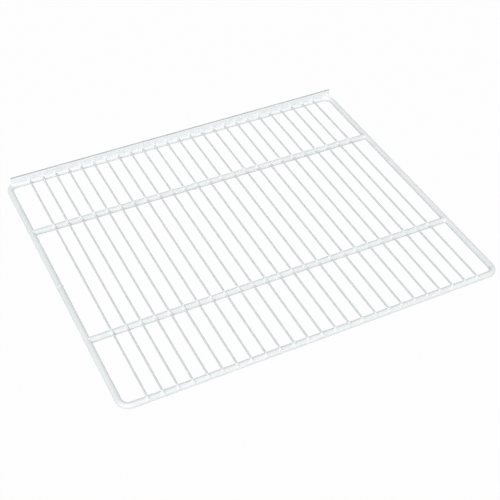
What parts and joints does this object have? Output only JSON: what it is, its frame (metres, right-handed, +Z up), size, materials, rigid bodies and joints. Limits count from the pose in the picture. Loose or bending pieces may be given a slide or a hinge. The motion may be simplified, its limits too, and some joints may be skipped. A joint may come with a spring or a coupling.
{
  "type": "refrigerator shelf",
  "caption": "White coated wire shelf: a closed rod frame with cross rods carries a deck of straight parallel wires, and a flat strip stands along the top of its rear rod.",
  "frame": {"origin": "middle of the shelf's bounding box, on the level of the rods' undersides", "axes": "+X along the width to the right seen from the front, +Y to the rear upstand, +Z up"},
  "size_m": [0.6093, 0.523, 0.0211],
  "materials": {
    "rod_coating": "satin",
    "wire_coating": "satin",
    "upstand_coating": "satin"
  },
  "bodies": {
    "root": {"frame_rod": "rod_coating", "cross_rod_front": "rod_coating", "cross_rod_rear": "rod_coating", "rear_upstand": "upstand_coating", "deck_wire_01": "wire_coating", "deck_wire_02": "wire_coating", "deck_wire_03": "wire_coating", "deck_wire_04": "wire_coating", "deck_wire_05": "wire_coating", "deck_wire_06": "wire_coating", "deck_wire_07": "wire_coating", "deck_wire_08": "wire_coating", "deck_wire_09": "wire_coating", "deck_wire_10": "wire_coating", "deck_wire_11": "wire_coating", "deck_wire_12": "wire_coating", "deck_wire_13": "wire_coating", "deck_wire_14": "wire_coating", "deck_wire_15": "wire_coating", "deck_wire_16": "wire_coating", "deck_wire_17": "wire_coating", "deck_wire_18": "wire_coating", "deck_wire_19": "wire_coating", "deck_wire_20": "wire_coating", "deck_wire_21": "wire_coating", "deck_wire_22": "wire_coating", "deck_wire_23": "wire_coating", "deck_wire_24": "wire_coating", "deck_wire_25": "wire_coating"}
  },
  "joints": []
}
